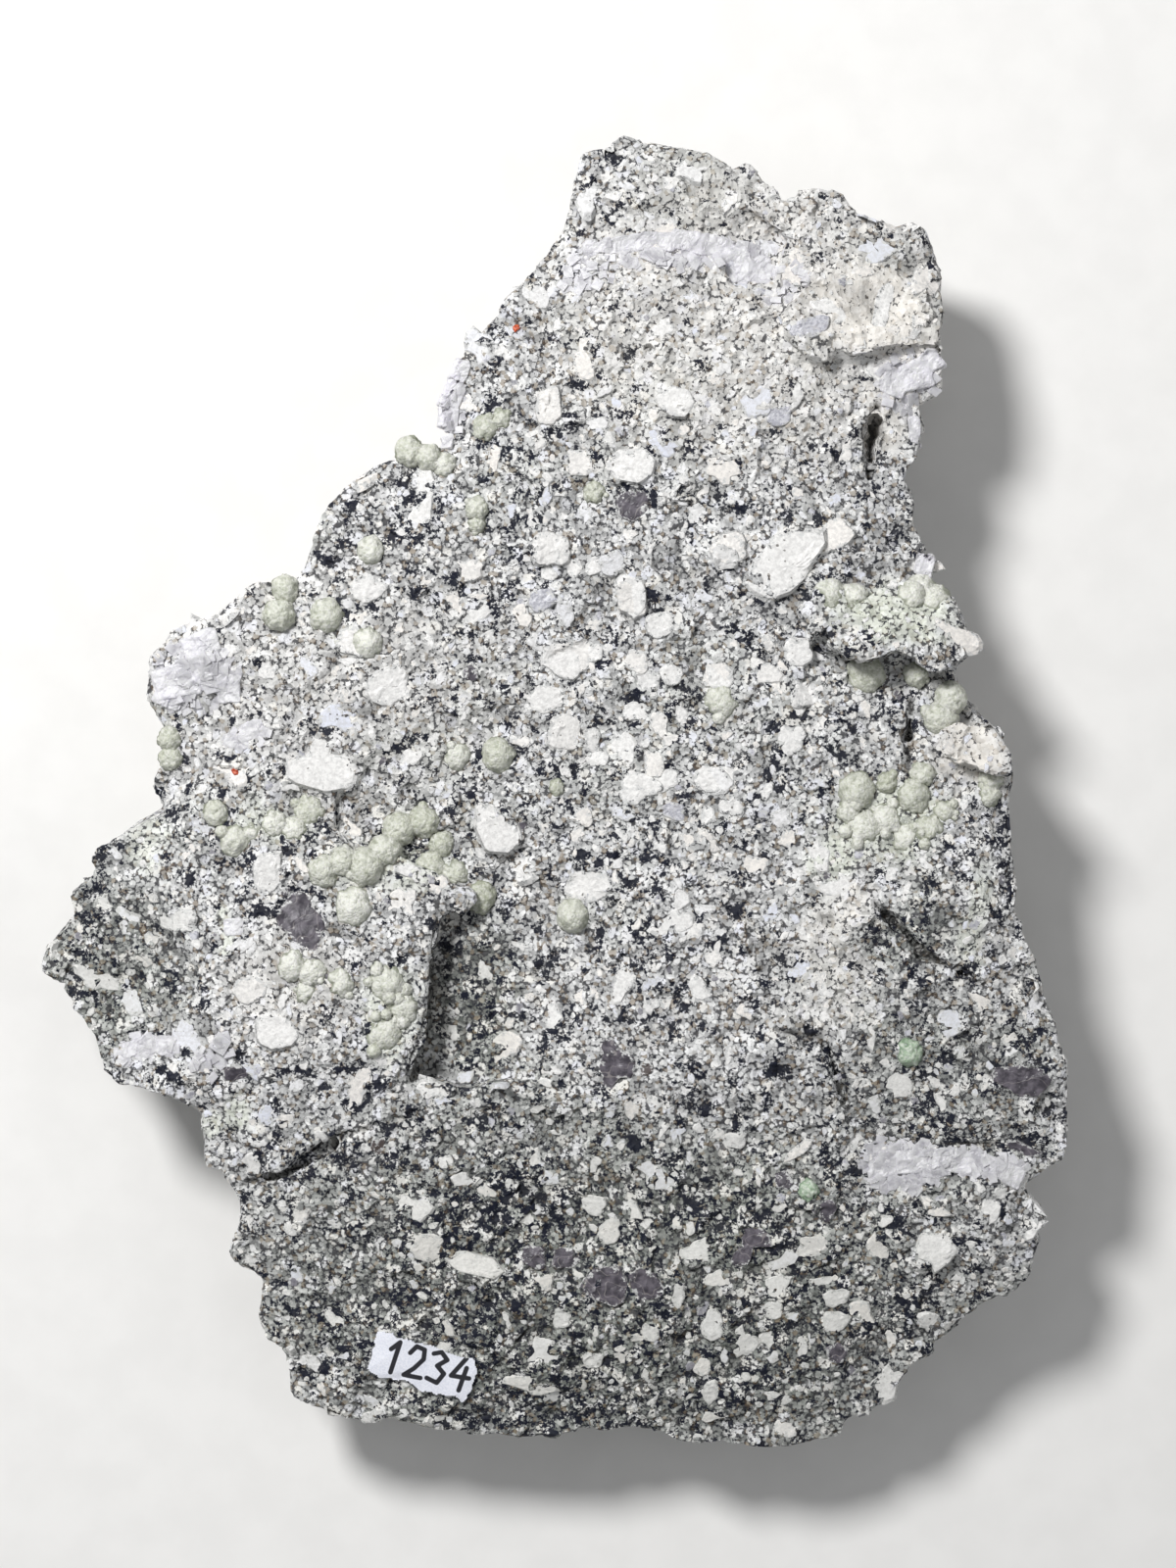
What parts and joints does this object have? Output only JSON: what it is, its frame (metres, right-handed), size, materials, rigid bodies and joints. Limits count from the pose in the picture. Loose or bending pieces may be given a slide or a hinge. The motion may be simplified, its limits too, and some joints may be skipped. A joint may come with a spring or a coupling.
{
  "type": "fluorite and calcite specimen",
  "caption": "Flat hand-sized slab of speckled granite-like rock with pale green fluorite balls, calcite seams and a small paper number label, lying on its back.",
  "frame": {"origin": "middle of the slab's outline, on the plane that its flat spot rests on", "axes": "+Z out of the broken front face, +Y towards the slab's narrow top end, +X to the right as the front is looked at"},
  "size_m": [0.1106, 0.1418, 0.024],
  "materials": {
    "rock": "rough, speckled white, grey and black",
    "fluorite": "frosted, slightly translucent",
    "calcite": "sugary, slightly translucent",
    "label_paper": "matt, with black ink"
  },
  "bodies": {
    "root": {"calcite_left_patch": "calcite", "calcite_left_plates": "calcite", "calcite_low_left_patch": "calcite", "calcite_low_right_vein": "calcite", "calcite_right_rim_glass": "calcite", "calcite_right_rim_knob": "calcite", "calcite_rim_crystals": "calcite", "calcite_tablet": "calcite", "calcite_top_seam": "calcite", "calcite_upper_left_rim": "calcite", "fluorite_arc_head": "fluorite", "fluorite_beside_feldspar": "fluorite", "fluorite_centre_arc": "fluorite", "fluorite_centre_grey": "fluorite", "fluorite_centre_low": "fluorite", "fluorite_centre_pale": "fluorite", "fluorite_centre_right": "fluorite", "fluorite_dark_ball": "fluorite", "fluorite_green_lower": "fluorite", "fluorite_green_upper": "fluorite", "fluorite_ledge_left": "fluorite", "fluorite_ledge_right": "fluorite", "fluorite_left_arc": "fluorite", "fluorite_left_crescent": "fluorite", "fluorite_left_edge_chips": "fluorite", "fluorite_left_rim_pair": "fluorite", "fluorite_left_square": "fluorite", "fluorite_nest_left": "fluorite", "fluorite_nest_low": "fluorite", "fluorite_nest_middle": "fluorite", "fluorite_nest_small": "fluorite", "fluorite_plate_ball": "fluorite", "fluorite_plate_balls": "fluorite", "fluorite_plate_edge": "fluorite", "fluorite_plate_rosette": "fluorite", "fluorite_right_crevice": "fluorite", "fluorite_right_rim": "fluorite", "fluorite_right_slope": "fluorite", "fluorite_rim_trio": "fluorite", "fluorite_small_grey": "fluorite", "fluorite_under_ledge": "fluorite", "fluorite_upper_pair": "fluorite", "fluorite_upper_single": "fluorite", "fluorite_upper_stack": "fluorite", "number_label": "label_paper", "rock_matrix": "rock"}
  },
  "joints": []
}
